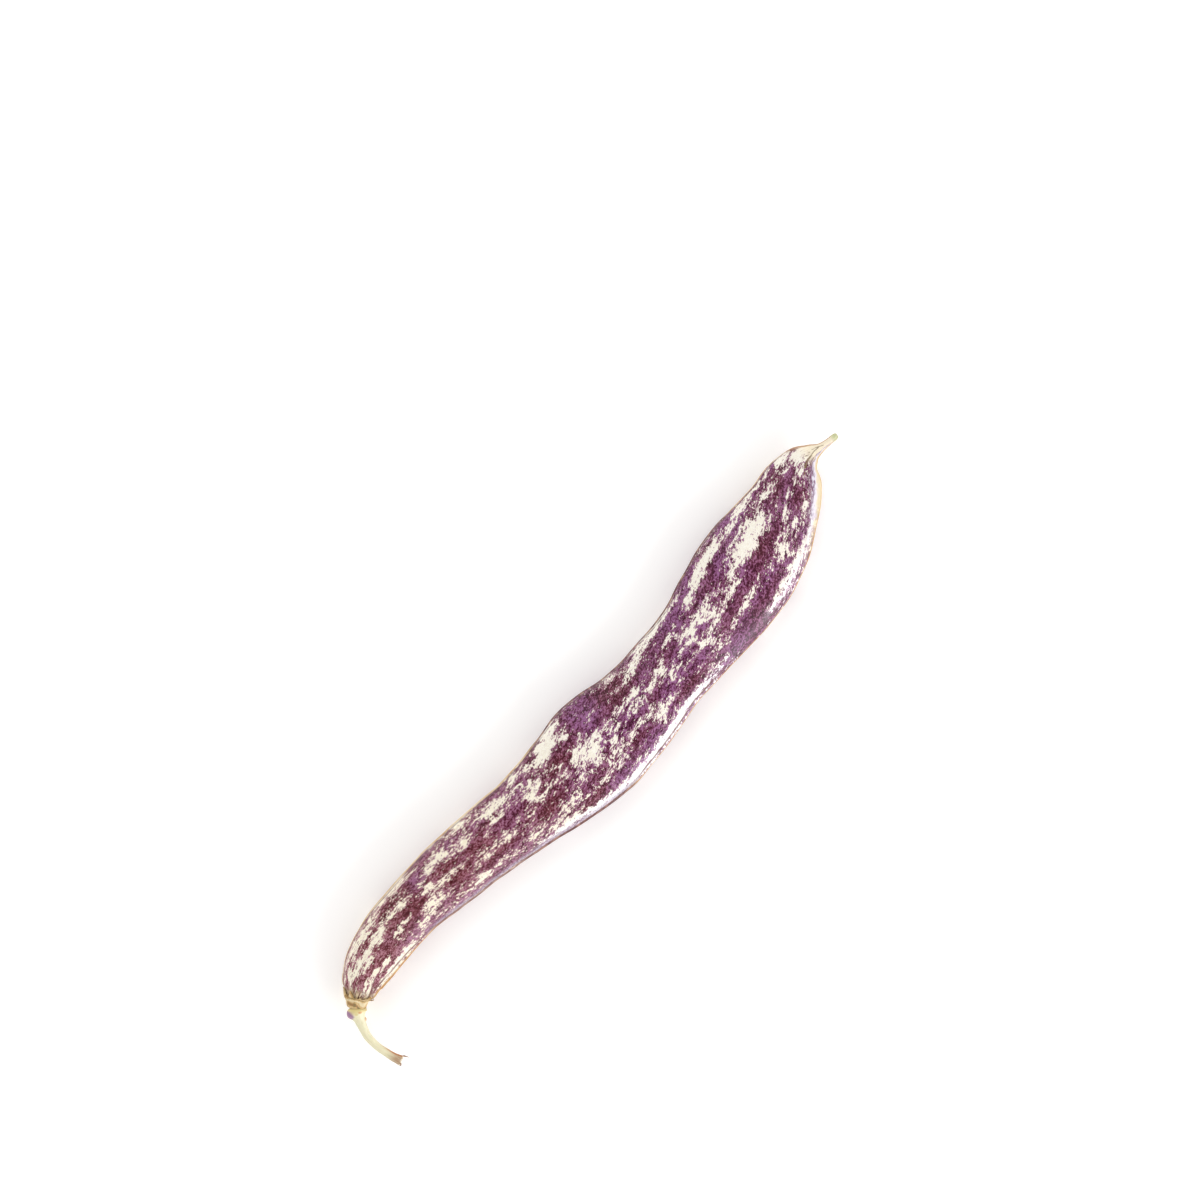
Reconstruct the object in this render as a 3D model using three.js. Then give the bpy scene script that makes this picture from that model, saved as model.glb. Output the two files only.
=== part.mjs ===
// A mottled bean pod as picked, lying on its flat side, in millimetres with +Z up.
// The pod runs along X, from its stem end at -X to its beak at +X. The origin is on the surface
// that it rests on, under the middle of its box. There are three pieces: the pod, the dry calyx
// that caps its stem end, and the stem with its swollen seat.
import * as THREE from "three";

// ---- The pod ----

// Its middle line and its section, from the end inside the calyx to the tip of the beak. Places
// are measured from the middle of the collar, and widths are over the seams. A positive twist,
// in degrees, lifts the -Y side.
const POD_STATIONS = [
  { along: 0.1, across: 0.05, above: 4.7, width: 3.6, thick: 3.2, twist: 16 },
  { along: 0.95, across: 0.62, above: 4.7, width: 4.8, thick: 3.9, twist: 17 },
  { along: 2.25, across: 1.15, above: 4.7, width: 7.05, thick: 5.1, twist: 18 },
  { along: 4.3, across: 2.1, above: 4.65, width: 8.95, thick: 6.4, twist: 18 },
  { along: 8, across: 3.1, above: 4.6, width: 10.75, thick: 7.6, twist: 15 },
  { along: 14, across: 3.85, above: 4.5, width: 11.7, thick: 8.4, twist: 8 },
  { along: 22, across: 3.75, above: 4.45, width: 12.3, thick: 8.8, twist: 2 },
  { along: 32, across: 2.5, above: 4.45, width: 14, thick: 9.1, twist: 0 },
  { along: 42, across: 0.75, above: 4.5, width: 14.8, thick: 8.7, twist: -1 },
  { along: 52, across: -1.4, above: 4.5, width: 16.1, thick: 8.6, twist: -2 },
  { along: 62, across: -2.95, above: 4.5, width: 19.3, thick: 9.1, twist: 0 },
  { along: 71, across: -3.7, above: 4.5, width: 21.3, thick: 9.5, twist: 0 },
  { along: 81, across: -4.8, above: 4.5, width: 18.6, thick: 8.9, twist: 2 },
  { along: 90, across: -4.7, above: 4.5, width: 17, thick: 8.5, twist: 3 },
  { along: 99, across: -4.85, above: 4.5, width: 17.4, thick: 8.6, twist: 1 },
  { along: 108, across: -4.25, above: 4.5, width: 19.7, thick: 9.1, twist: 0 },
  { along: 116, across: -3.45, above: 4.5, width: 20.9, thick: 9.4, twist: 2 },
  { along: 124, across: -2.4, above: 4.5, width: 19, thick: 8.6, twist: 7 },
  { along: 131, across: -0.75, above: 4.55, width: 15.3, thick: 7.2, twist: 13 },
  { along: 136.5, across: 1.05, above: 4.6, width: 12.4, thick: 5.8, twist: 18 },
  { along: 140, across: 1.9, above: 4.75, width: 8.45, thick: 4.3, twist: 20 },
  { along: 142.5, across: 1.7, above: 4.9, width: 4.4, thick: 2.9, twist: 18 },
  { along: 144.5, across: 1.05, above: 5.05, width: 2.05, thick: 1.75, twist: 12 },
  { along: 146.5, across: 0.58, above: 5.2, width: 1.4, thick: 1.25, twist: 6 },
  { along: 148.1, across: 0.27, above: 5.3, width: 1.35, thick: 1.2, twist: 0 },
  { along: 148.7, across: 0.1, above: 5.35, width: 0.8, thick: 0.7, twist: 0 },
];
const POD_RINGS = 142;
const POD_SIDES = 28;
const RING_CROWDING = 0.55; // rings are closer together towards both ends
const SIDE_CROWDING = 0.6; // and points are closer together round the two seams
const SECTION_POWER = 2.2; // 2 would be an ellipse; this is a little fuller

// Two seams stand up along the edges: one cord on the back (+Y), and a pair with a groove between
// them on the belly (-Y), where the seeds hang. They shrink with the pod towards its ends.
const SEAM_HEIGHT = 0.34;
const BACK_SEAM_REACH = 0.55;
const BELLY_CORD_OFFSET = 0.5;
const BELLY_CORD_REACH = 0.32;
const FULL_SEAM_THICKNESS = 6;

// Each seed swells both faces, a little to one side of the middle line and then to the other.
const SEED_COUNT = 7;
const FIRST_SEED = 25;
const SEED_SPACING = 15.5;
const SEED_SWELL = 0.45;
const SEED_REACH_ALONG = 5.2;
const SEED_REACH_ACROSS = 4.6;
const SEED_STAGGER = 0.8;

// Shallow folds gather where the pod narrows into the calyx.
const FOLD_COUNT = 7;
const FOLD_DEPTH = 0.045; // as a share of the section
const FOLD_REACH = 7;

// ---- The calyx ----

// A thin dry cup on the pod's end, with a domed base and its edge torn into uneven lobes. Each
// lobe is at an angle round the pod, in degrees from the back seam by way of the upper face.
const CALYX_CLEARANCE = 0.2;
const CALYX_WALL = 0.5;
const CALYX_DEPTH = 1.05;
const CALYX_LOBES = [
  { at: 20, halfWidth: 24, length: 1.2 },
  { at: 76, halfWidth: 14, length: 1 },
  { at: 118, halfWidth: 12, length: 0.4 },
  { at: 154, halfWidth: 22, length: 1.2 },
  { at: 190, halfWidth: 14, length: 0.6 },
  { at: 230, halfWidth: 22, length: 0.9 },
  { at: 275, halfWidth: 24, length: 1.5 },
  { at: 325, halfWidth: 20, length: 1 },
];
const CALYX_SIDES = 56;
const CALYX_WALL_RINGS = 9;
const CALYX_DOME_RINGS = 3;
const CALYX_DOME_HEIGHT = 0.45;
const CALYX_RIBS = 14;
const CALYX_RIB_HEIGHT = 0.1;
const CALYX_EDGE_THICKNESS = 0.45; // of the wall that is left at the torn edge
const COLLAR_BULGE = 0.22; // a dark rim that stands out round the bottom of the cup
const COLLAR_REACH = 0.45;

// ---- The stem ----

const STEM_STATIONS = [
  { along: -1.03, across: -0.82, above: 4.7, thick: 3.8 },
  { along: -1.4, across: -1.2, above: 4.7, thick: 3.9 },
  { along: -1.75, across: -1.75, above: 4.65, thick: 3 },
  { along: -2.2, across: -2.6, above: 4.6, thick: 2.2 },
  { along: -2.95, across: -4, above: 4.5, thick: 1.8 },
  { along: -3.7, across: -5.8, above: 4.3, thick: 1.6 },
  { along: -4.05, across: -7.9, above: 4, thick: 1.55 },
  { along: -4, across: -10, above: 3.7, thick: 1.55 },
  { along: -3.75, across: -12.2, above: 3.4, thick: 1.7 },
  { along: -3.45, across: -13.6, above: 3.25, thick: 1.9 },
  { along: -3.3, across: -14.3, above: 3.2, thick: 2.15 },
];
const STEM_RINGS = 48;
const STEM_SIDES = 22;
const STEM_RIBS = 5;
const STEM_RIB_HEIGHT = 0.035; // as a share of the radius

// The scars of two fallen leaflets: a blunt knob beside the seat, and a small one past it.
const SCARS = [
  { from: 0.95, at: 178, height: 0.4, reachAlong: 0.5, reachRound: 30 },
  { from: 2.4, at: 5, height: 0.3, reachAlong: 0.4, reachRound: 24 },
];

// The stem is cut across, and a few fibres stand out past the cut.
const CUT_START = 0.8; // before the end, where the fibres start to part
const CUT_FIBRES = [
  { at: 5, reachRound: 14, length: 1.2 },
  { at: 120, reachRound: 16, length: 0.35 },
  { at: 215, reachRound: 16, length: 0.5 },
];

// ---- Curves through the stations ----

function curveThrough(stations, read) {
  const points = stations.map((station) => new THREE.Vector3(...read(station)));
  const curve = new THREE.CatmullRomCurve3(points, false, "catmullrom");
  curve.arcLengthDivisions = 2000;
  return curve;
}

const podLine = curveThrough(POD_STATIONS, (s) => [s.along, s.across, s.above]);
const podSection = curveThrough(POD_STATIONS, (s) => [s.width, s.thick, s.twist]);
const stemLine = curveThrough(STEM_STATIONS, (s) => [s.along, s.across, s.above]);
const stemSection = curveThrough(STEM_STATIONS, (s) => [s.thick, 0, 0]);
const podLength = podLine.getLength();
const stemLength = stemLine.getLength();

// The place on a line at a distance from its start, with the directions across and up from it.
function frameAt(line, length, distance) {
  const parameter = line.getUtoTmapping(THREE.MathUtils.clamp(distance / length, 0, 1));
  const centre = line.getPoint(parameter);
  const forward = line.getTangent(parameter);
  const side = new THREE.Vector3(-forward.y, forward.x, 0).normalize();
  const up = new THREE.Vector3().crossVectors(forward, side);
  return { parameter, centre, forward, side, up };
}

// A rounded hump, one unit high at nought, that fades out past its reach.
function bell(distance, reach) {
  return Math.exp(-((distance / reach) ** 2));
}

// The smallest turn between two angles, in degrees.
function turnBetween(one, other) {
  return Math.abs(THREE.MathUtils.euclideanModulo(one - other + 180, 360) - 180);
}

// ---- Surfaces ----

function roundedPower(value, power) {
  return Math.sign(value) * Math.abs(value) ** (2 / power);
}

function seedSwelling(distance, across) {
  let swelling = 0;
  for (let seed = 0; seed < SEED_COUNT; seed += 1) {
    const middle = FIRST_SEED + seed * SEED_SPACING;
    const offset = seed % 2 === 0 ? SEED_STAGGER : -SEED_STAGGER;
    const along = bell(distance - middle, SEED_REACH_ALONG);
    swelling += SEED_SWELL * along * bell(across - offset, SEED_REACH_ACROSS);
  }
  return swelling;
}

function seamHeight(angle, height, scale) {
  if (Math.cos(angle) > 0) {
    return SEAM_HEIGHT * scale * bell(height, BACK_SEAM_REACH * scale);
  }
  const fromCord = Math.abs(height) - BELLY_CORD_OFFSET * scale;
  return SEAM_HEIGHT * scale * bell(fromCord, BELLY_CORD_REACH * scale);
}

// A point on the pod's skin, or off it by a clearance. The angle starts at the back seam and
// goes round by way of the upper face.
function podSurface(distance, angle, clearance) {
  const { parameter, centre, side, up } = frameAt(podLine, podLength, distance);
  const [width, thick, twist] = podSection.getPoint(parameter).toArray();
  const scale = Math.min(1, thick / FULL_SEAM_THICKNESS);
  const fold = FOLD_DEPTH * Math.cos(FOLD_COUNT * angle) * Math.exp(-distance / FOLD_REACH);
  const halfWidth = (width / 2 - SEAM_HEIGHT * scale) * (1 + fold);
  const halfThickness = (thick / 2) * (1 + fold);
  let across = halfWidth * roundedPower(Math.cos(angle), SECTION_POWER);
  let height = halfThickness * roundedPower(Math.sin(angle), SECTION_POWER);
  const seam = seamHeight(angle, height, scale);
  height += seedSwelling(distance, across) * Math.sin(angle);
  across += (seam + clearance) * Math.cos(angle);
  height += clearance * Math.sin(angle);
  const turn = -THREE.MathUtils.degToRad(twist);
  const turnedAcross = across * Math.cos(turn) - height * Math.sin(turn);
  const turnedHeight = across * Math.sin(turn) + height * Math.cos(turn);
  return centre.addScaledVector(side, turnedAcross).addScaledVector(up, turnedHeight);
}

// How far along the pod the torn edge of the calyx reaches at an angle.
function calyxEdge(degrees) {
  let reach = CALYX_DEPTH;
  for (const lobe of CALYX_LOBES) {
    const share = Math.max(0, 1 - turnBetween(degrees, lobe.at) / lobe.halfWidth);
    reach += lobe.length * share;
  }
  return reach;
}

// A point on the stem. The angle starts on its left, as seen from the calyx, and goes round by
// way of its upper side.
function stemSurface(distance, degrees) {
  const { parameter, centre, forward, side, up } = frameAt(stemLine, stemLength, distance);
  const angle = THREE.MathUtils.degToRad(degrees);
  const rib = 1 + STEM_RIB_HEIGHT * Math.cos(STEM_RIBS * angle);
  let radius = (stemSection.getPoint(parameter).x / 2) * rib;
  for (const scar of SCARS) {
    const hump = bell(distance - scar.from, scar.reachAlong);
    radius += scar.height * hump * bell(turnBetween(degrees, scar.at), scar.reachRound);
  }
  const parted = THREE.MathUtils.smoothstep(distance, stemLength - CUT_START, stemLength);
  let past = 0;
  for (const fibre of CUT_FIBRES) {
    past += fibre.length * bell(turnBetween(degrees, fibre.at), fibre.reachRound);
  }
  return centre
    .addScaledVector(side, radius * Math.cos(angle))
    .addScaledVector(up, radius * Math.sin(angle))
    .addScaledVector(forward, parted * past);
}

// ---- Solids ----

// A closed body through rings of points, with both ends closed by a fan to the middle. Each ring
// turns from left to up, as seen along the way from the first ring to the last.
function closedLoft(rings) {
  const sides = rings[0].length;
  const positions = [];
  const indices = [];
  for (const ring of rings) {
    for (const point of ring) {
      positions.push(point.x, point.y, point.z);
    }
  }
  for (let ring = 0; ring < rings.length - 1; ring += 1) {
    for (let side = 0; side < sides; side += 1) {
      const here = ring * sides + side;
      const beside = ring * sides + ((side + 1) % sides);
      indices.push(here, beside, here + sides);
      indices.push(beside, beside + sides, here + sides);
    }
  }
  const lastRing = (rings.length - 1) * sides;
  const firstMiddle = rings.length * sides;
  for (const ring of [rings[0], rings[rings.length - 1]]) {
    const middle = new THREE.Vector3();
    for (const point of ring) {
      middle.addScaledVector(point, 1 / sides);
    }
    positions.push(middle.x, middle.y, middle.z);
  }
  for (let side = 0; side < sides; side += 1) {
    const next = (side + 1) % sides;
    indices.push(firstMiddle, next, side);
    indices.push(firstMiddle + 1, lastRing + side, lastRing + next);
  }
  const geometry = new THREE.BufferGeometry();
  geometry.setAttribute("position", new THREE.Float32BufferAttribute(positions, 3));
  geometry.setIndex(indices);
  geometry.computeVertexNormals();
  return geometry;
}

function anglesRound(sides, crowding) {
  const angles = [];
  for (let side = 0; side < sides; side += 1) {
    const even = (2 * Math.PI * side) / sides;
    angles.push(even - (crowding / 2) * Math.sin(2 * even));
  }
  return angles;
}

function podGeometry() {
  const angles = anglesRound(POD_SIDES, SIDE_CROWDING);
  const rings = [];
  for (let ring = 0; ring < POD_RINGS; ring += 1) {
    const even = ring / (POD_RINGS - 1);
    const crowd = (RING_CROWDING / (2 * Math.PI)) * Math.sin(2 * Math.PI * even);
    const distance = podLength * (even - crowd);
    const points = angles.map((angle) => podSurface(distance, angle, 0));
    for (const point of points) {
      point.z = Math.max(point.z, 0); // it lies flat where its weight is on the surface
    }
    rings.push(points);
  }
  return closedLoft(rings);
}

// Rings that close the first ring of a loft with a low dome, from the smallest ring outwards.
function domeOver(firstRing, forward) {
  const middle = new THREE.Vector3();
  for (const point of firstRing) {
    middle.addScaledVector(point, 1 / firstRing.length);
  }
  const rings = [];
  for (let ring = 1; ring <= CALYX_DOME_RINGS; ring += 1) {
    const turn = ((Math.PI / 2) * ring) / (CALYX_DOME_RINGS + 1);
    const lift = -CALYX_DOME_HEIGHT * Math.cos(turn);
    rings.push(firstRing.map((point) => (
      middle.clone().lerp(point, Math.sin(turn)).addScaledVector(forward, lift)
    )));
  }
  return rings;
}

function calyxGeometry() {
  const angles = anglesRound(CALYX_SIDES, 0);
  const start = frameAt(podLine, podLength, 0);
  const outer = [];
  const inner = [];
  for (let ring = 0; ring < CALYX_WALL_RINGS; ring += 1) {
    const share = ring / (CALYX_WALL_RINGS - 1);
    const wall = CALYX_WALL * THREE.MathUtils.lerp(1, CALYX_EDGE_THICKNESS, share);
    const outerRing = [];
    const innerRing = [];
    for (const angle of angles) {
      const reach = calyxEdge(THREE.MathUtils.radToDeg(angle)) * share;
      const rib = CALYX_RIB_HEIGHT * (1 + Math.cos(CALYX_RIBS * angle));
      const collar = COLLAR_BULGE * bell(reach, COLLAR_REACH);
      const back = Math.max(0, 1 - ring);
      outerRing.push(
        podSurface(reach, angle, CALYX_CLEARANCE + wall + rib * share + collar)
          .addScaledVector(start.forward, -back * (CALYX_CLEARANCE + CALYX_WALL)),
      );
      innerRing.push(
        podSurface(reach, angle, CALYX_CLEARANCE)
          .addScaledVector(start.forward, -back * CALYX_CLEARANCE),
      );
    }
    outer.push(outerRing);
    inner.unshift(innerRing);
  }
  return closedLoft([...domeOver(outer[0], start.forward), ...outer, ...inner]);
}

function stemGeometry() {
  const rings = [];
  for (let ring = 0; ring < STEM_RINGS; ring += 1) {
    const distance = (stemLength * ring) / (STEM_RINGS - 1);
    const points = [];
    for (let side = 0; side < STEM_SIDES; side += 1) {
      points.push(stemSurface(distance, (360 * side) / STEM_SIDES));
    }
    rings.push(points);
  }
  return closedLoft(rings);
}

// ---- The part ----

function namedMesh(name, geometry, colour, roughness) {
  const material = new THREE.MeshStandardMaterial({ color: colour, roughness, metalness: 0 });
  material.name = name;
  const mesh = new THREE.Mesh(geometry, material);
  mesh.name = name;
  return mesh;
}

const group = new THREE.Group();
group.name = "bean_pod";
group.add(namedMesh("pod", podGeometry(), "#a5828f", 0.5));
group.add(namedMesh("calyx", calyxGeometry(), "#a98a55", 0.85));
group.add(namedMesh("stem", stemGeometry(), "#dcdcb0", 0.6));

const box = new THREE.Box3().setFromObject(group);
const middle = box.getCenter(new THREE.Vector3());
for (const mesh of group.children) {
  mesh.geometry.translate(-middle.x, -middle.y, -box.min.z);
}

export default group;
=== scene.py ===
"""A mottled bean pod lying on a pale floor, seen from straight above.

Lengths are worked out in millimetres in the drawing of part.mjs and turned into metres when a
mesh is made. The pod, its dry calyx and its stem are rebuilt finer than the CAD solids, from the
same stations, and replace them.
"""
import math

import bpy
import numpy as np
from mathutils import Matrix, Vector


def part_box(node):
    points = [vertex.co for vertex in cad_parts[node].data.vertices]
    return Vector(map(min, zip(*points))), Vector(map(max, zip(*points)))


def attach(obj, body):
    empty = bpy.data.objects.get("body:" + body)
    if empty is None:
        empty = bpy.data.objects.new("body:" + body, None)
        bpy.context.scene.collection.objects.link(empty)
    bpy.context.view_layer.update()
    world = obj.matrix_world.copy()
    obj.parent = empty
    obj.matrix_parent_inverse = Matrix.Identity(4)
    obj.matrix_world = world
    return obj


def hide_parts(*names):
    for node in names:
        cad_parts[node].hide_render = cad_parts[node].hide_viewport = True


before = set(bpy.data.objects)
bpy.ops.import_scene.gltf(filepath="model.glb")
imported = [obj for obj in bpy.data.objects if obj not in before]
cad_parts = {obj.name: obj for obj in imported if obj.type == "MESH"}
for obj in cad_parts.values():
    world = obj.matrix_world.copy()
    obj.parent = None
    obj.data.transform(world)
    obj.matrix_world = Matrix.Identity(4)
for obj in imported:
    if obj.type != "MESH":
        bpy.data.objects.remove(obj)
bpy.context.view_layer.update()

MM = 0.001
TURN = 2 * np.pi
rng = np.random.default_rng(11)

# ---- Stations, as in the CAD source ----

# along, across, above, width, thickness, twist in degrees
POD = [
    (0.1, 0.05, 4.7, 3.6, 3.2, 16), (0.95, 0.62, 4.7, 4.8, 3.9, 17),
    (2.25, 1.15, 4.7, 7.05, 5.1, 18), (4.3, 2.1, 4.65, 8.95, 6.4, 18),
    (8, 3.1, 4.6, 10.75, 7.6, 15), (14, 3.85, 4.5, 11.7, 8.4, 8), (22, 3.75, 4.45, 12.3, 8.8, 2),
    (32, 2.5, 4.45, 14, 9.1, 0), (42, 0.75, 4.5, 14.8, 8.7, -1), (52, -1.4, 4.5, 16.1, 8.6, -2),
    (62, -2.95, 4.5, 19.3, 9.1, 0), (71, -3.7, 4.5, 21.3, 9.5, 0), (81, -4.8, 4.5, 18.6, 8.9, 2),
    (90, -4.7, 4.5, 17, 8.5, 3), (99, -4.85, 4.5, 17.4, 8.6, 1), (108, -4.25, 4.5, 19.7, 9.1, 0),
    (116, -3.45, 4.5, 20.9, 9.4, 2), (124, -2.4, 4.5, 19, 8.6, 7),
    (131, -0.75, 4.55, 15.3, 7.2, 13), (136.5, 1.05, 4.6, 12.4, 5.8, 18),
    (140, 1.9, 4.75, 8.45, 4.3, 20), (142.5, 1.7, 4.9, 4.4, 2.9, 18),
    (144.5, 1.05, 5.05, 2.05, 1.75, 12), (146.5, 0.58, 5.2, 1.4, 1.25, 6),
    (148.1, 0.27, 5.3, 1.35, 1.2, 0), (148.7, 0.1, 5.35, 0.8, 0.7, 0),
]
WIDTH, THICKNESS, TWIST = 3, 4, 5
# along, across, above, thickness
STEM = [
    (-1.03, -0.82, 4.7, 3.8), (-1.4, -1.2, 4.7, 3.9), (-1.75, -1.75, 4.65, 3),
    (-2.2, -2.6, 4.6, 2.2), (-2.95, -4, 4.5, 1.8), (-3.7, -5.8, 4.3, 1.6), (-4.05, -7.9, 4, 1.55),
    (-4, -10, 3.7, 1.55), (-3.75, -12.2, 3.4, 1.7), (-3.45, -13.6, 3.25, 1.9),
    (-3.3, -14.3, 3.2, 2.15),
]
STEM_THICKNESS = 3

SECTION_POWER = 2.2  # 2 is an ellipse, and more is boxier
SEAM_HEIGHT = 0.34
BACK_SEAM_REACH = 0.55
CORD_OFFSET = 0.5  # the belly seam is two cords, this far to either side of the middle
CORD_REACH = 0.32
FULL_SEAM = 6  # thickness of the pod above which its seams have their full size
SEEDS = [(25 + 15.5 * i, 0.8 if i % 2 == 0 else -0.8) for i in range(7)]
SEED_SWELL = 0.45
SEED_ALONG = 5.2
SEED_ACROSS = 4.6
FOLDS = 7  # folds that gather the pod into the calyx
FOLD_DEPTH = 0.045  # as a share of the section's size
FOLD_REACH = 7


def bell(x, reach):
    return np.exp(-((x / reach) ** 2))


def smooth(x, low, high):
    """0 below low and 1 above high, with an eased rise between."""
    t = np.clip((x - low) / (high - low), 0, 1)
    return t * t * (3 - 2 * t)


def turn_between(a, b):
    """How far apart two directions are, in degrees."""
    return np.abs((a - b + 180) % 360 - 180)


def rounded(x):
    return np.sign(x) * np.abs(x) ** (2 / SECTION_POWER)


class Line:
    """A curve through stations, read by distance along it, as three.js reads its own."""

    SAMPLES = 6001
    NUDGE = 1e-4  # share of a station's stretch over which its direction is read

    def __init__(self, stations):
        self.stations = np.array(stations, float)
        self.last = len(self.stations) - 1
        self.t = np.linspace(0, self.last, self.SAMPLES)
        pieces = np.diff(self.at(self.t)[:, :3], axis=0)
        self.length_at = np.r_[0, np.cumsum(np.linalg.norm(pieces, axis=1))]
        self.length = self.length_at[-1]

    def at(self, t):
        """Station values at t, which counts stations."""
        p, last = self.stations, self.last
        i = np.clip(np.floor(t).astype(int), 0, last - 1)
        w = (t - i)[..., None]
        before = np.where((i > 0)[..., None], p[np.maximum(i - 1, 0)], 2 * p[0] - p[1])
        after = np.where((i < last - 1)[..., None], p[np.minimum(i + 2, last)], 2 * p[-1] - p[-2])
        a, b = p[i], p[i + 1]
        ta, tb = (b - before) / 2, (after - a) / 2
        return a + ta * w + (3 * (b - a) - 2 * ta - tb) * w**2 + (2 * (a - b) + ta + tb) * w**3

    def t_at(self, distance):
        return np.interp(distance, self.length_at, self.t)

    def station(self, distance):
        return self.at(self.t_at(distance))

    def frame(self, distance):
        """Station values, and the directions forward, to the left and up."""
        t = self.t_at(distance)
        ahead = self.at(np.minimum(t + self.NUDGE, self.last))[..., :3]
        behind = self.at(np.maximum(t - self.NUDGE, 0))[..., :3]
        forward = ahead - behind
        forward /= np.linalg.norm(forward, axis=-1, keepdims=True)
        side = np.stack([-forward[..., 1], forward[..., 0], 0 * forward[..., 0]], -1)
        side /= np.linalg.norm(side, axis=-1, keepdims=True)
        return self.at(t), forward, side, np.cross(forward, side)


pod_line, stem_line = Line(POD), Line(STEM)


def pod_surface(distance, angle, off=0.0):
    """Points on the pod, or a little off it, and facts on where each lies in its section."""
    here, forward, side, up = pod_line.frame(distance)
    width, thick, twist = here[..., WIDTH], here[..., THICKNESS], np.radians(here[..., TWIST])
    scale = np.minimum(1, thick / FULL_SEAM)
    fold = 1 + FOLD_DEPTH * np.cos(FOLDS * angle) * np.exp(-distance / FOLD_REACH)
    c, s = np.cos(angle), np.sin(angle)
    flat_across = (width / 2 - SEAM_HEIGHT * scale) * fold * rounded(c)
    flat_height = (thick / 2) * fold * rounded(s)
    back = bell(flat_height, BACK_SEAM_REACH * scale)
    belly = bell(np.abs(flat_height) - CORD_OFFSET * scale, CORD_REACH * scale)
    seam = np.where(c > 0, back, belly)
    swell = sum(
        SEED_SWELL * bell(distance - at, SEED_ALONG) * bell(flat_across - to_side, SEED_ACROSS)
        for at, to_side in SEEDS
    )
    across = flat_across + (SEAM_HEIGHT * scale * seam + off) * c
    height = flat_height + (swell + off) * s
    plan = across * np.cos(twist) + height * np.sin(twist)
    rise = height * np.cos(twist) - across * np.sin(twist)
    points = here[..., :3] + side * plan[..., None] + up * rise[..., None]
    facts = dict(plan=plan, rise=rise, across=flat_across, height=flat_height, width=width, scale=scale)
    return points, facts


def into_frame(rings=600, sides=90):
    """The move from the drawing, which starts at the collar, to the frame of the CAD boxes."""
    distance = np.linspace(0, pod_line.length, rings)
    points, _ = pod_surface(distance[:, None], np.linspace(0, TURN, sides))
    middle = (points.min((0, 1)) + points.max((0, 1))) / 2
    along, across, _ = np.array(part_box("pod")).mean(0) / MM - middle
    return np.array([along, across, 0])


SHIFT = into_frame()


# ---- Meshes ----

def put(name, data):
    thing = bpy.data.objects.new(name, data)
    bpy.context.scene.collection.objects.link(thing)
    return thing


def with_ends(values):
    """The values of all rings, point by point, and then the mean of the first and last ring."""
    count, sides = values.shape[:2]
    ends = np.stack([values[0].mean(0), values[-1].mean(0)])
    return np.concatenate([values.reshape(count * sides, -1), ends.reshape(2, -1)])


def skin_faces(count, sides):
    """Four-sided faces between rings, and a fan round the middle point at each end."""
    side = np.arange(sides)
    beside = (side + 1) % sides
    start = sides * np.arange(count - 1)[:, None]
    end = start + sides
    strips = np.stack([start + side, start + beside, end + beside, end + side], -1)
    first_middle, last_middle, last = count * sides, count * sides + 1, (count - 1) * sides
    first_fan = np.stack([first_middle + 0 * side, beside, side], 1)
    last_fan = np.stack([last_middle + 0 * side, last + side, last + beside], 1)
    return strips.reshape(-1, 4).tolist() + first_fan.tolist() + last_fan.tolist()


def add_value(mesh, name, values):
    """A number or a vector at each point, from an array (ring, side) or (ring, side, 3)."""
    rows = with_ends(values)
    kind, slot = ("FLOAT_VECTOR", "vector") if rows.shape[1] == 3 else ("FLOAT", "value")
    mesh.attributes.new(name, kind, "POINT").data.foreach_set(slot, rows.ravel())


def loft(name, rings, values, layout=None):
    """A closed mesh through an array of rings (ring, side, xyz), with a fan at both ends.

    values go on its points, and a layout holds the places of its face corners for a bake."""
    mesh = bpy.data.meshes.new(name)
    points = (with_ends(rings) + SHIFT) * MM
    mesh.from_pydata(points.tolist(), [], skin_faces(*rings.shape[:2]))
    for key, value in values.items():
        add_value(mesh, key, value)
    if layout is not None:
        mesh.uv_layers.new(name="OFBake").data.foreach_set("uv", layout.ravel())
    mesh.validate()
    mesh.polygons.foreach_set("use_smooth", [True] * len(mesh.polygons))
    return put(name, mesh)


# ---- Markings on the pod ----

MARKS_START = 1.35  # distance along the pod from which the marks are measured

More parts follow.
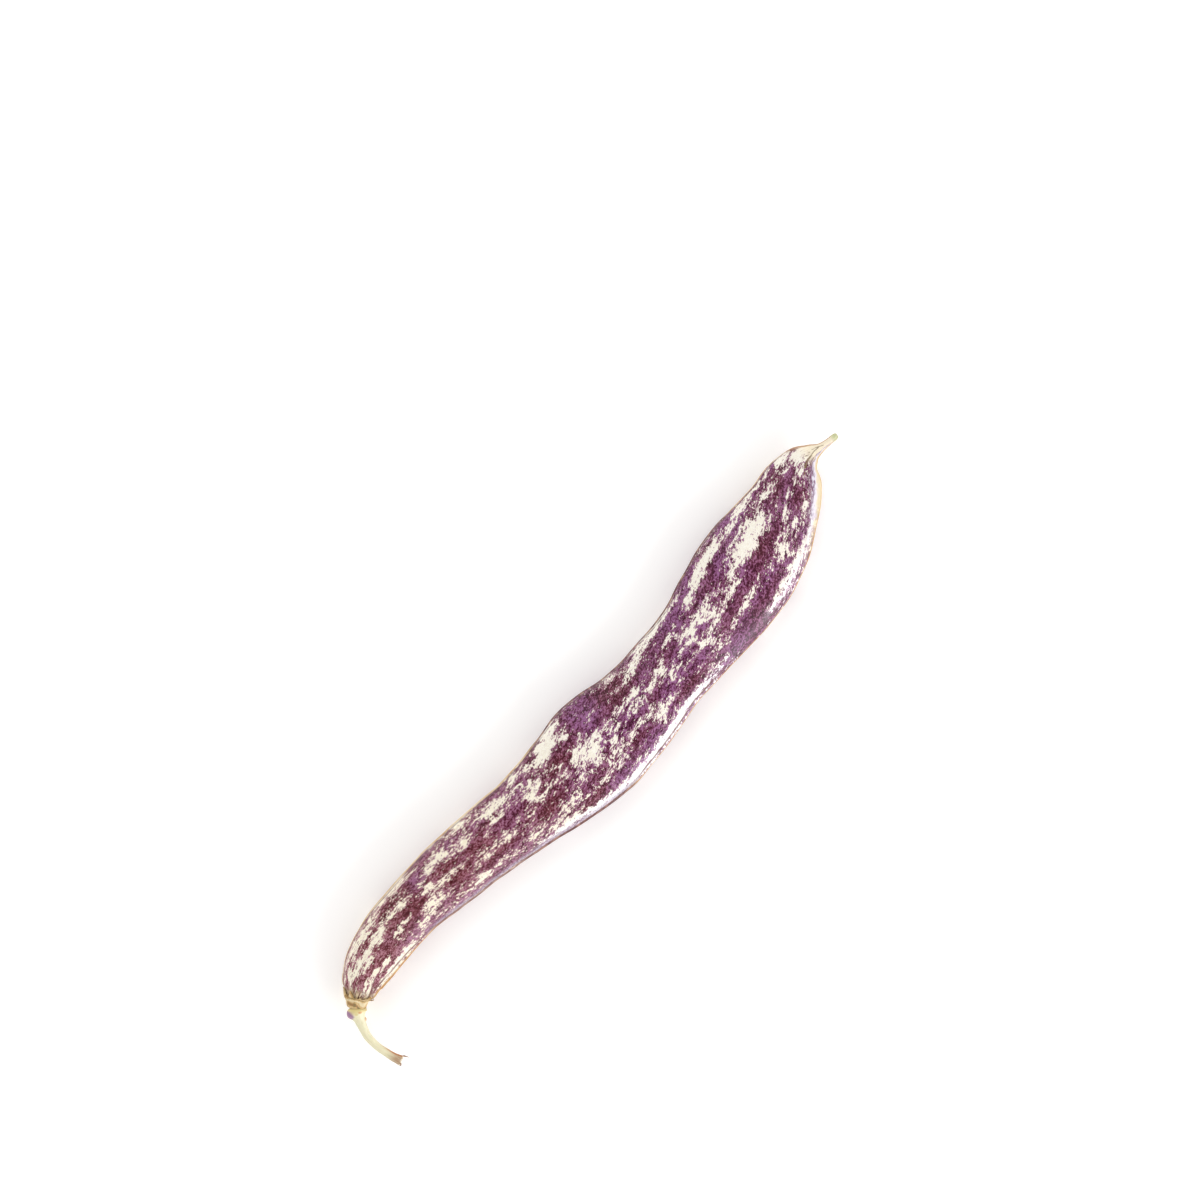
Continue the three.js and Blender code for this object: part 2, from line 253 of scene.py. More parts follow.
# Each mark is (distance, across, half length, half width, strength, slope). These lie on the
# upper face, and a seeded scatter of the same kind lies on the lower one.
CREAM_MARKS = [
    (4.2, 2.3, 1.6, 1, 1.7, 0), (8, 1.5, 3, 0.5, 1.4, 0), (13, 1.5, 2.2, 0.9, 1.5, 0),
    (10, 4.2, 5, 0.7, 1.1, 0), (7.2, 0.2, 2, 0.32, 2.1, 0), (2.8, -0.95, 1.8, 0.32, 2.1, 0),
    (6, -1.6, 1.5, 0.32, 2, 0), (2.8, -1.95, 1.4, 0.32, 1.8, 0), (8.6, -2.5, 1.6, 0.35, 2.1, 0),
    (6.8, -4, 3.5, 0.5, 1.9, -0.04), (12, -4.8, 4.5, 0.45, 1.8, 0), (16.5, -0.8, 2, 0.4, 1.7, 0),
    (20, 5.6, 5, 0.7, 1, 0.1), (25.5, -2.1, 3.2, 1.1, 1.1, 0), (26, 0.9, 1.6, 0.6, 0.9, 0),
    (27.5, 3, 1.6, 0.4, 0.7, 0), (32, 3.8, 2.4, 1, 1, 0), (38, 6.4, 3.4, 0.7, 1.1, 0),
    (45.5, 4.9, 2.4, 0.9, 1.2, 0.1), (37.5, 3, 1.6, 0.7, 0.9, 0), (29.5, -4.3, 1.5, 0.4, 0.7, 0),
    (21, -3.5, 1.2, 0.4, 0.8, 0), (36, -4.6, 1.8, 0.7, 1, 0), (33, -4, 0.8, 0.6, 0.7, 0.4),
    (44, -1.7, 7, 0.3, 0.9, 0.06), (41, -4.4, 2.2, 0.4, 0.9, 0.05), (32, 0.2, 2.8, 0.35, 0.8, 0),
    (46, 2.6, 3.2, 0.35, 0.8, 0.08), (41.5, 1.3, 1.6, 0.3, 0.7, 0.2),
    (52.5, 6.8, 1.6, 0.7, 0.9, 0.2), (56.2, 7.2, 0.9, 0.7, 0.8, 0.3), (51, 4.9, 1.8, 0.6, 0.7, 0.1),
    (60.2, 6.4, 2.4, 1, 1.5, 0.4), (63.5, 8.2, 3.2, 1.5, 1.9, 0.4), (67, 6.5, 1.2, 0.7, 0.9, 0.1),
    (54.6, 2.3, 2.1, 1, 1.2, 0.45), (56.3, 0.9, 3, 0.4, 0.9, 0.15), (50, -2, 2.2, 0.5, 0.8, 0.3),
    (61.3, 3, 1.3, 0.35, 0.8, 0), (67, 2.9, 2.8, 0.5, 1.1, 0.5), (68.2, 0.9, 3.2, 1.2, 1.1, 0),
    (72.5, 2, 3, 0.6, 1.1, 0), (69, -0.5, 2, 0.7, 0.9, 0), (73.2, -0.9, 1.1, 0.8, 1.1, -0.4),
    (66.5, -1.9, 2.2, 0.4, 1, -0.2), (70.3, -3.3, 2, 0.35, 1, 0.35),
    (76.3, -3.1, 2.6, 0.4, 1, 0.17), (81.3, -2.2, 2.8, 0.4, 1, 0.17), (80.3, 3, 3, 0.5, 1.1, 0),
    (83.5, 2.5, 1.4, 0.3, 0.8, 0), (85, 0.7, 2.3, 0.4, 1, 0.25), (80.5, 0.2, 2, 0.3, 0.8, 0),
    (79, 8.8, 2.4, 0.5, 0.9, -0.1), (83, 8, 1.5, 0.4, 0.9, 0), (80.7, 5.8, 1, 0.3, 0.6, 0),
    (86.8, 6, 2.8, 0.6, 1.1, 0.25), (92.8, 7.8, 4.8, 0.8, 1.3, 0.12),
    (90, 1.7, 2.1, 0.6, 1.1, 0.35), (90.3, -0.9, 1.5, 0.4, 1, 0), (93, -1.8, 0.9, 0.25, 0.8, 0),
    (84.5, -4.1, 2.9, 0.7, 1.2, 0.2), (95.4, -4, 1.1, 0.5, 1, 0), (58, -4.4, 2.3, 0.6, 1, 0.1),
    (61.5, -3.7, 1.8, 0.4, 1, 0.3), (64.5, -5.3, 3.6, 0.3, 1, 0), (73.5, -4.9, 1.7, 0.35, 1, 0.2),
    (49.5, -4.5, 1.7, 0.5, 0.9, 0.1), (56.5, -6.9, 4.5, 0.9, 1.2, -0.15),
    (75.7, -6.4, 1.1, 0.35, 0.8, 0.2), (97, 4.2, 1.4, 0.6, 1, 0), (96.6, 0.8, 1.7, 0.3, 0.8, 0),
    (97.4, -1.3, 0.9, 0.35, 0.8, 0), (100.5, 8.3, 3.6, 0.5, 1.1, 0.05),
    (101, 2.4, 3.2, 0.6, 1.2, 0), (106, 3, 2.4, 0.5, 1.1, 0.1), (104, 5.7, 2.6, 0.6, 1.1, 0.25),
    (110, 7.5, 4.2, 0.9, 1.3, 0.18), (115.3, 8, 3.6, 0.6, 1.1, 0), (121, 7.3, 3, 0.4, 1, -0.1),
    (127.6, 7.3, 3.4, 0.9, 1.2, -0.22), (121.5, 5.4, 3.4, 0.45, 1.1, 0),
    (119.4, 2.7, 3.3, 1.2, 1.7, 0), (124.5, 3, 3.4, 1.2, 1.8, 0), (114.6, 2.3, 2, 0.35, 0.9, 0.1),
    (105, 1.2, 1.6, 0.7, 1, 0), (105, -0.7, 1.4, 0.8, 1, 0), (112.5, 0.1, 2.7, 0.4, 1, -0.1),
    (112, 1.2, 1.1, 0.3, 0.8, 0), (97.7, 0.9, 1.4, 0.3, 0.8, 0), (100.4, -1.7, 2.2, 0.8, 1.2, 0.1),
    (100, -4.1, 1.2, 0.5, 1, 0), (105, -4.4, 3.1, 0.5, 1.1, 0.25),
    (112.5, -3.2, 3.6, 0.5, 1.2, 0.25), (99.8, -6.6, 1.4, 0.4, 1, 0),
    (123.5, -3.8, 2.5, 0.7, 1.1, 0.3), (125.4, -2, 0.9, 0.3, 0.8, 0),
    (129, -3.6, 2.6, 0.35, 1, 0.45), (114, -8.3, 3, 0.6, 1, 0), (121, -7.6, 4, 0.8, 1.2, 0.15),
    (128, -6.8, 4, 0.8, 1.2, 0.15), (63, -8.7, 4, 0.7, 1.2, -0.1), (71, -9.3, 4, 0.8, 1.1, 0),
    (78, -8.5, 4, 0.7, 1.2, 0.15), (85, -7.3, 4, 0.7, 1.2, 0.2), (91.5, -7.1, 4, 0.5, 1.1, 0.05),
    (19, 2.3, 3, 0.4, 1.1, 0), (21.5, 2.2, 2.5, 0.3, 1, 0.1), (130, -1, 1.6, 0.5, 1.6, 0),
    (133.7, 0.1, 1, 0.3, 1.5, 0), (132.6, -3.8, 1.5, 0.5, 1.7, 0.2), (131.5, 4.3, 1.2, 0.6, 1.7, 0),
    (132.5, 3, 1.6, 0.3, 1.3, 0), (139.3, 3.9, 1.5, 0.8, 1.9, -0.1),
    (138.1, 2.2, 0.7, 0.35, 1.6, 0), (141.5, 1.6, 2, 0.9, 1.9, 0), (138.2, -0.5, 1.4, 0.4, 1.6, 0),
    (136.5, 5.6, 4.6, 0.3, 1.2, -0.25), (136.5, -4.8, 4, 0.7, 1.2, 0.25),
]
PURPLE_MARKS = [
    (106.5, -8, 4, 0.9, 1.6, -0.12), (1.2, 2.7, 1.4, 0.35, 1, 0.4), (4.3, 3.6, 2, 0.35, 1, 0.23),
    (10, 2.6, 1.8, 0.35, 1, 0), (13.7, 2.9, 0.8, 0.25, 0.9, 0), (15.5, 1.6, 1.2, 0.3, 0.9, 0),
    (2.5, 1, 2.6, 0.35, 1, -0.08), (10, 0.7, 1.2, 0.4, 1, 0), (5, -0.55, 5, 0.4, 1.1, -0.05),
    (12.5, -0.65, 3, 0.6, 1.2, 0.06), (11, -1.3, 3.2, 0.9, 1.2, 0), (4.5, -2.8, 2.3, 0.45, 1, 0),
    (9.5, -3.5, 2.6, 0.45, 1, 0), (15.5, -3.2, 3.5, 0.6, 0.9, 0), (19.5, 0.5, 4.6, 0.6, 1.2, 0),
    (22, -0.9, 2, 1.2, 1.1, 0), (18, 4, 2.3, 0.8, 0.8, 0), (24.3, 3.4, 2.6, 1.2, 1, 0.35),
    (28.5, 6.2, 3.2, 0.6, 1, 0), (31, 1.8, 3.2, 0.7, 1.1, 0), (35.5, 6.3, 1.2, 0.6, 0.9, 0),
    (32.5, -1.6, 2.8, 0.9, 1.1, 0.1), (28.5, -3.5, 2.7, 0.8, 0.9, 0), (40, 1, 5, 1.2, 0.9, 0),
    (47, 1.3, 3.5, 0.8, 0.9, 0.05), (42, -3.2, 7, 0.8, 1, 0.03), (41.5, 3.5, 2, 1, 0.8, 0),
    (47, 6.9, 3.2, 0.6, 0.9, 0), (21.5, -5.3, 2.6, 0.7, 0.7, 0), (39, -6.2, 10, 0.6, 0.6, 0),
    (18, -1.8, 2.2, 0.5, 0.9, 0), (57.5, 8.2, 2.5, 0.6, 0.8, 0.1), (54, 5.8, 1, 0.8, 0.5, 0.3),
    (63.3, 4.8, 3.5, 1, 1, 0), (63.6, 3.2, 1.6, 1.2, 1.1, 0), (70.5, 8, 2, 2.2, 1, 0),
    (68, 5, 3, 0.6, 0.9, 0.1), (76.5, 7.6, 3.2, 2.1, 1.3, 0), (80, 4.4, 5.5, 0.7, 1.2, 0),
    (87, 8, 2.4, 0.7, 1, -0.1), (82.3, 6.9, 1.8, 0.8, 0.8, 0), (95, 6.1, 4, 0.8, 1, 0.15),
    (89, 4.1, 4, 0.9, 1, 0), (74, 4, 3.5, 0.9, 0.9, 0), (80, -0.8, 4.6, 0.7, 1, 0),
    (86.6, -1.6, 2.2, 1.3, 1.1, 0), (78, -4, 3.2, 0.8, 1.2, 0.1), (92, -4.8, 5, 1.1, 1.2, 0.05),
    (95.3, -0.6, 1.6, 0.7, 0.9, 0), (95, -2.7, 3, 0.7, 0.9, 0), (94, 2.3, 2.4, 0.9, 1, 0.2),
    (64.5, -4.2, 4, 0.6, 1, 0.05), (63, -6.8, 2.8, 0.8, 1.3, 0), (70, -7.2, 4.5, 0.8, 0.9, 0),
    (78, -5.9, 4, 0.7, 1, 0.1), (54, -1.7, 4.8, 1.2, 0.9, 0), (61.5, -1.2, 2, 1, 0.8, 0),
    (49.5, 1.8, 2.6, 0.8, 0.9, 0), (55.6, 1.3, 0.9, 0.28, 1.3, 0), (59.5, 2.1, 1.7, 0.5, 0.9, 0),
    (72.3, 1.4, 1, 0.35, 1.5, 0.1), (71, -1.5, 1.4, 0.5, 0.9, 0), (100.5, 6.4, 3.6, 1, 1, 0.15),
    (105.7, 7.8, 2, 0.6, 0.9, 0.2), (106.5, 9.2, 4.5, 0.5, 0.9, 0.08), (107.2, 5, 3, 0.8, 1, 0),
    (110, 3.9, 3, 1.4, 1, 0), (114.2, 5.9, 4.2, 0.8, 1.2, 0.1), (123.2, 8.8, 2.6, 0.5, 0.9, -0.1),
    (117.5, 9.4, 4, 0.3, 0.8, 0), (121, 6.3, 5, 0.4, 1, 0), (101, 4.3, 3.2, 0.4, 1, 0),
    (100, 1, 2.6, 0.35, 0.8, 0), (100.5, -0.5, 3, 0.35, 0.9, 0), (107, -2.2, 5.2, 0.8, 1.1, 0.08),
    (112, -1.4, 5, 0.8, 1, 0.08), (122, -0.6, 6.5, 1.1, 1.3, 0.05),
    (117.5, -1.6, 3.2, 1.3, 1.1, 0.1), (97.8, -3, 1.5, 1.2, 0.9, 0), (108, -6.2, 6, 1.7, 1.1, 0),
    (116, -5.6, 5, 1.2, 1.2, 0.08), (104, -7.2, 3, 0.8, 0.9, 0), (109.5, -8.5, 3, 0.5, 0.9, 0),
    (112.8, -9, 1.2, 0.35, 0.9, 0), (127, -5.9, 2.7, 0.7, 1.1, 0.1), (126.4, -4.3, 1, 0.4, 1, 0),
    (90, 6.6, 1.2, 0.4, 0.5, 0), (59, -8.3, 3, 0.35, 0.6, -0.1), (131, 6, 2.8, 0.6, 1, -0.1),
    (135.5, 4.9, 3.6, 0.5, 1.1, -0.2), (130, 3, 2, 0.9, 1, 0), (134.5, 1.8, 3.2, 1.2, 1, 0),
    (133, -1.7, 3, 1.1, 1.1, 0.1), (137, 1.3, 2, 0.6, 1, 0), (141.2, 3.2, 0.8, 0.3, 0.8, -0.4),
]

# Broad zones of the purple: darker and browner ones, and lighter and more violet ones
DARK_ZONES = [
    (31, 1.8, 3, 1, 1, 0), (20.5, 0.5, 4, 1, 1, 0), (11, -2, 2.5, 1.2, 0.9, 0),
    (33, -1.3, 3, 1, 1, 0), (42, -2.5, 6, 0.7, 0.6, 0), (55, -2.2, 5, 1.4, 0.7, 0),
    (62.5, 3.5, 3.5, 1.5, 0.8, 0), (80.5, 6, 4.5, 2.2, 1, 0), (77.5, -4.2, 3, 0.9, 1.3, 0.1),
    (63, -6.8, 3, 0.9, 1.1, 0), (92, -5, 4.5, 1.2, 1.1, 0), (107.5, -3, 4.5, 1.1, 0.9, 0.08),
    (123, 0, 5, 1.2, 1.1, 0), (134.5, 3.5, 3.5, 1.6, 0.9, -0.1), (134, -2.5, 2.5, 1.6, 0.9, 0),
]
VIOLET_ZONES = [
    (30, 6.2, 3.5, 0.7, 0.8, 0), (25.5, 4, 1.8, 1.2, 0.8, 0.3), (34.5, 5.5, 1.5, 1.5, 0.8, 0),
    (43, 5, 1.5, 1.2, 0.7, 0), (16, -3.8, 3.5, 0.8, 0.9, 0), (28, -5.7, 8, 0.5, 0.9, -0.05),
    (72.5, 7.5, 3, 3, 1.2, 0), (70, -7.8, 5, 1, 1, 0), (101, 7.2, 6, 1.4, 1.3, 0.1),
    (114.5, 4.5, 3, 1.6, 0.9, 0), (117, -4.3, 8, 0.8, 0.9, 0.05), (125, 7.5, 5, 1.2, 0.8, -0.15),
]

SCATTER_FROM, SCATTER_TO = 3, 140
SCATTERED = 105, 95  # how many purple and cream marks the lower face has
SCATTER_STRENGTH = 1.1
# Thin dark lines on the upper face that gather at both ends: half width, strength, and places
# (distance, across) that they pass through
STROKES = [
    (0.13, 1, [(146.4, 0.3), (145.4, 0.1), (144.2, -0.3), (141.4, -0.9), (139.6, -1.6)]),
    (0.22, 0.9, [(144, -0.35), (142.6, -0.7), (141.4, -1)]),
    (0.09, 0.9, [(147.6, 0.1), (146, 0.55), (144.6, 0.5), (142.6, 0.1)]),
    (0.13, 0.9, [(144.4, -0.9), (142.5, -1.5), (140.8, -2)]),
    (0.2, 1, [(5, 1.1), (3.2, 1.1), (1.3, 0.9)]),
    (0.18, 0.9, [(3.4, 2.9), (2.2, 2.2), (1.3, 1.7)]),
    (0.16, 0.8, [(2.4, 3.6), (1.6, 2.9), (0.7, 2.5)]),
    (0.18, 1, [(6, -0.6), (3.5, -0.3), (1.2, -0.2)]),
    (0.2, 1, [(6.4, -2.2), (3.4, -2.4), (1.4, -2)]),
    (0.16, 0.8, [(5.2, -3.4), (3, -2.9), (1, -2.5)]),
    (0.18, 0.8, [(8, -5.2), (4.5, -4.2), (1.8, -3), (0.9, -2.4)]),
]


def scatter(count, strength):
    """Seeded marks for the face that lies underneath."""
    marks = []
    for place in np.linspace(SCATTER_FROM, SCATTER_TO, count):
        half = pod_line.station(place)[WIDTH] / 2
        at = place + rng.uniform(-3, 3)
        across = rng.uniform(-0.9, 0.9) * half
        half_length = rng.uniform(1.5, 4.5)
        half_width = rng.uniform(0.35, 1.1)
        drawn = strength * rng.uniform(0.7, 1.2)
        slope = rng.uniform(-0.1, 0.2)
        marks.append((at, across, half_length, half_width, drawn, slope))
    return marks


def negative(marks):
    """The same marks with the opposite strength."""
    return [(*mark[:4], -mark[4], mark[5]) for mark in marks]


UPPER = PURPLE_MARKS + negative(CREAM_MARKS)
LOWER = scatter(SCATTERED[0], SCATTER_STRENGTH) + scatter(SCATTERED[1], -SCATTER_STRENGTH)
ZONES = DARK_ZONES + negative(VIOLET_ZONES)


def field(distance, across, marks, spread=1.1, hardness=1.3, most=1.4):
    """Sum of soft-edged marks, each a wavering ellipse that leans by its slope."""
    wave = 0.12 * np.sin(2.3 * distance + 1.7 * np.sin(1.3 * across))
    across = across + wave + 0.08 * np.sin(5.1 * distance - 2 * across)
    distance = distance + 0.8 * np.sin(3.3 * across + 1.1 * np.sin(0.7 * distance))
    total = np.zeros_like(distance)
    for at, off, half_length, half_width, strength, slope in marks:
        x = distance - MARKS_START - at
        y = across - off - slope * x
        reach = (x / (spread * half_length)) ** 2 + (y / (spread * half_width)) ** 2
        total += strength * np.exp(-(reach ** hardness))
    return np.clip(total, -most, most)


def from_line(distance, across, places):
    """How far each point is from a line through places, in millimetres."""
    nearest = np.full(distance.shape, np.inf)
    for (x0, y0), (x1, y1) in zip(places, places[1:]):
        dx, dy = x1 - x0, y1 - y0
        share = np.clip(((distance - x0) * dx + (across - y0) * dy) / (dx * dx + dy * dy), 0, 1)
        gap = np.hypot(distance - x0 - share * dx, across - y0 - share * dy)
        nearest = np.minimum(nearest, gap)
    return nearest


def stroke_field(distance, across):
    return sum(
        strength * bell(from_line(distance, across, places), half_width)
        for half_width, strength, places in STROKES
    )


# ---- The pod ----

POD_RINGS, POD_SIDES = 480, 112
END_CROWDING = 0.4  # how much closer its rings are at both ends
SEAM_CROWDING = 0.55  # how much closer its points are at both seams
SLOW_WAVE, QUICK_WAVE, FINE_FOLD = 0.05, 0.035, 0.05  # heights of the parts of its ripple
FULL_RIPPLE = 7  # thickness of the pod above which its ripple has its full height
# The grain leans across the pod by this slope at these distances along it.
LEAN_AT, LEAN = (0, 35, 65, 115, 140, 151), (0.05, 0.05, 0.27, 0.27, 0.2, 0.2)
EVEN_WIDTH = 16  # width of the pod at which its grain has its own size
EVENING = 0.6  # at 0 the grain keeps its size everywhere, and at 1 its number of streaks
UPPER_FROM, UPPER_TO = -1.2, 0.4  # height over which the lower face's marks give way
WELL_CLEAR = 9  # stands for the distance to the seam on the far side
BAKE_MARGIN, FAN_WIDTH = 0.01, 0.008  # as shares of the bake's side


def ripple(distance, angle):
    """Slight unevenness of a grown surface, and fine folds that run into both ends."""
    waves = SLOW_WAVE * np.sin(0.31 * distance + 2 * angle) * np.sin(0.17 * distance + 1.3)
    waves += QUICK_WAVE * np.sin(0.83 * distance - 3 * angle + 0.7)
    folds = np.cos(17 * angle + 0.05 * distance) + 0.6 * np.cos(29 * angle + 1)
    at_stem = np.exp(-distance / 4.5)
    at_beak = bell(distance - 143, 4)
    return waves * smooth(distance, 4, 14) + FINE_FOLD * folds * (at_stem + 0.5 * at_beak)


def skin_grain(distance, facts):
    """Where each point lies in the grain, whose streaks narrow with the pod and lean across it."""
    even_out = (EVEN_WIDTH / np.maximum(facts["width"], 1)) ** EVENING
    slope = np.interp(distance, LEAN_AT, LEAN)
    leaned = np.r_[0, np.cumsum((slope[1:] + slope[:-1]) / 2 * np.diff(distance))]
    across = facts["across"] * even_out - leaned[:, None]
    return np.stack([distance[:, None] + 0 * across, across, facts["height"] * even_out], -1)


def bake_layout(distance, sides):
    """Where each face corner lies in the pod's bake: two strips, each with half its length."""
    along = 2 * distance / pod_line.length
    strip = (np.arange(len(distance) - 1) >= len(distance) // 2).astype(float)
    near = BAKE_MARGIN + (1 - 2 * BAKE_MARGIN) * (along[:-1] - strip)
    far = BAKE_MARGIN + (1 - 2 * BAKE_MARGIN) * (along[1:] - strip)
    height = (0.5 - 2 * BAKE_MARGIN) * np.arange(sides + 1) / sides
    low = (BAKE_MARGIN + strip / 2)[:, None] + height[:-1]
    high = (BAKE_MARGIN + strip / 2)[:, None] + height[1:]
    middle = height.mean() + 0 * low[0]

    def corners(x, y):
        return np.stack(np.broadcast_arrays(x, np.stack(y, -1)), -1).reshape(-1, 2)

    start, end = near[0], far[-1]
    return np.concatenate([
        corners(np.stack([near, near, far, far], -1)[:, None], [low, high, high, low]),
        corners([start - FAN_WIDTH, start, start], [low[0, 0] + middle, high[0], low[0]]),
        corners([end + FAN_WIDTH, end, end], [low[-1, 0] + middle, low[-1], high[-1]]),
    ])


def pod():
    share = np.linspace(0, 1, POD_RINGS)
    distance = pod_line.length * (share - END_CROWDING / TURN * np.sin(TURN * share))
    turn = TURN * np.arange(POD_SIDES) / POD_SIDES
    d, a = np.meshgrid(distance, turn - SEAM_CROWDING / 2 * np.sin(2 * turn), indexing="ij")
    thick = pod_line.station(d)[..., THICKNESS]
    rings, facts = pod_surface(d, a, ripple(d, a) * np.minimum(1, thick / FULL_RIPPLE))
    rings[..., 2] = np.maximum(rings[..., 2], 0)

    plan = facts["plan"]
    on_top = smooth(facts["rise"], UPPER_FROM, UPPER_TO)
    upper, lower = field(d, plan, UPPER), field(d, plan, LOWER)
    from_seam = np.abs(facts["height"]) / facts["scale"]
    return loft("bean_pod", rings, dict(
        grain=skin_grain(distance, facts),
        bias=lower + (upper - lower) * on_top,
        zone=field(d, plan, ZONES) * on_top,
        strokes=stroke_field(d, plan) * on_top,
        along=d,
        back=np.where(np.cos(a) > 0, from_seam, WELL_CLEAR),
        belly=np.where(np.cos(a) < 0, from_seam, WELL_CLEAR),
        reach=plan / (facts["width"] / 2),
    ), bake_layout(distance, POD_SIDES))


# ---- The calyx ----

# at and half width in degrees round the pod, length in millimetres
LOBES = [
    (20, 24, 1.2), (76, 14, 1), (118, 12, 0.4), (154, 22, 1.2), (190, 14, 0.6), (230, 22, 0.9),
    (275, 24, 1.5), (325, 20, 1),
]
CLEARANCE = 0.2
WALL = 0.5
DEPTH = 1.05
EDGE_LEFT = 0.35  # share of the wall that is left at the rim
TEAR, NICK = 0.16, 0.1
COLLAR, COLLAR_REACH = 0.42, 0.55  # a groove round the base of the cup
RIB, FINE_RIB = 0.2, 0.045
RINGED = 0.07
BACK_REACH = 0.3  # distance from the base over which the cup is drawn back behind the pod
DOME, DOME_LUMP = 0.75, 0.03
DOME_START, DOME_ALONG = 0.05, 1.4  # where the dome starts along the grain, and how far it runs
FIBRE_SPREAD = 3
CALYX_RINGS, DOME_RINGS, CALYX_SIDES = 22, 8, 216


def torn_reach(a):
    """How far the calyx reaches along the pod: a cup, its lobes and their torn edge."""
    degrees = np.degrees(a)
    lobes = sum(
        length * np.maximum(0, 1 - turn_between(degrees, at) / half) for at, half, length in LOBES
    )
    return DEPTH + lobes + TEAR * np.cos(31 * a + 1) * np.cos(7 * a) + NICK * np.cos(53 * a)


def ring_waves(d, a):
    """Uneven waves that ring the cup."""
    return np.cos(8 * d + 1.6 * np.cos(2 * a + 1) + 0.5 * np.cos(5 * a))


def calyx_wall(d, a, share):
    """Thickness of the cup at a distance that is a share of its reach."""
    wall = WALL * (1 + (EDGE_LEFT - 1) * share)
    fine = 0.6 * np.cos(43 * a + 0.4) + 0.4 * np.cos(71 * a + 2)
    ribs = RIB * (0.5 + 0.5 * np.cos(14 * a)) * share + FINE_RIB * fine * smooth(d, 0.1, 0.8)
    return wall + ribs - COLLAR * bell(d, COLLAR_REACH) - RINGED * ring_waves(d, a) * (1 - share)


def domed_base(rim, forward, a):
    """Rings of the uneven dome behind a rim, and where they lie along the grain."""
    turn = TURN / 4 * np.arange(1, DOME_RINGS + 1)[:, None] / (DOME_RINGS + 1)
    lift = DOME * np.cos(turn) + DOME_LUMP * np.cos(5 * a + 6 * turn)
    middle = rim.mean(0)
    rings = middle + (rim - middle) * np.sin(turn)[..., None] - forward * lift[..., None]
    return rings, 0 * a - DOME_ALONG * (1 - np.sin(turn)) - DOME_START


def calyx():
    a = TURN * np.arange(CALYX_SIDES) / CALYX_SIDES
    share = np.linspace(0, 1, CALYX_RINGS)[:, None]
    d = torn_reach(a) * share
    forward = pod_line.frame(0.0)[1]
    drawn_back = forward * smooth(1 - d / BACK_REACH, 0, 1)[..., None]
    outer, _ = pod_surface(d, a, CLEARANCE + calyx_wall(d, a, share))
    inner, _ = pod_surface(d, a, CLEARANCE)
    outer = outer - (CLEARANCE + WALL) * drawn_back
    inner = inner - CLEARANCE * drawn_back
    dome, dome_along = domed_base(outer[0], forward, a)
    along = np.concatenate([dome_along, d, d[::-1]])
    edge = np.concatenate([0 * dome_along, share + 0 * a, share[::-1] + 0 * a])
    round_it = [FIBRE_SPREAD * np.cos(a) + 0 * along, FIBRE_SPREAD * np.sin(a) + 0 * along]
    return loft("dry_calyx", np.concatenate([dome, outer, inner[::-1]]), dict(
        grain=np.stack([along, *round_it], -1), edge=edge, along=along, arcs=ring_waves(along, a),
    ))


# ---- The stem ----

# Patches on the stem: distance along, reach along, direction and reach round in degrees
SWELLING = (0.95, 0.5, 178, 30)
NUB = (2.4, 0.4, 5, 24)
PURPLE_KNOB = (0.75, 0.75, 168, 56)
ORANGE_SPOT = (0.45, 0.28, 66, 16)
YELLOW_STAIN = (0.7, 0.3, 92, 14)
SWELLING_HEIGHT, NUB_HEIGHT = 0.4, 0.3
TAN_SIDE, TAN_REACH = 10, 34
# at in degrees, reach round, length, and how far its tip leans out
CUT_FIBRES = [(5, 9, 1.25, 0.35), (120, 13, 0.35, 0), (215, 11, 0.6, 0.1)]
CUT_START = 0.8
# The cut face is sunk inside its rim: share of the radius, depth
CUT_FACE = [(0.9, 0.02), (0.82, 0.2), (0.5, 0.3), (0.2, 0.4)]
SEAT_RISE = 0.45  # how far the rounded top of the seat reaches towards the calyx
SEAT_TOP = 0.6  # share of the seat's thickness that its top has
STEM_RINGS, STEM_SIDES = 170, 108


def patch(d, degrees, at, along, turn, around):
    return bell(d - at, along) * bell(turn_between(degrees, turn), around)


def plain_radius(d, a, thick):
    """The stem's radius, with soft ribs and the rounded top of its seat."""
    ribs = 1 + 0.035 * np.cos(5 * a) + 0.02 * np.cos(11 * a + 0.2 * d) + 0.02 * np.sin(1.9 * d + a)
    top = SEAT_TOP + (1 - SEAT_TOP) * smooth(d, -SEAT_RISE, 0) ** 0.5
    return thick / 2 * ribs * top


def cut_fibres(d, degrees):
    """How far the fibres of the cut end reach past it, and how far they lean out."""
    a = np.radians(degrees)
    past, out = 0.05 * np.cos(19 * a + 1) + 0.06 * np.cos(7 * a), 0
    for turn, around, length, lean in CUT_FIBRES:
        fibre = bell(turn_between(degrees, turn), around)
        past = past + length * fibre
        out = out + lean * fibre
    parted = smooth(d, stem_line.length - CUT_START, stem_line.length)
    return past * parted, out * parted


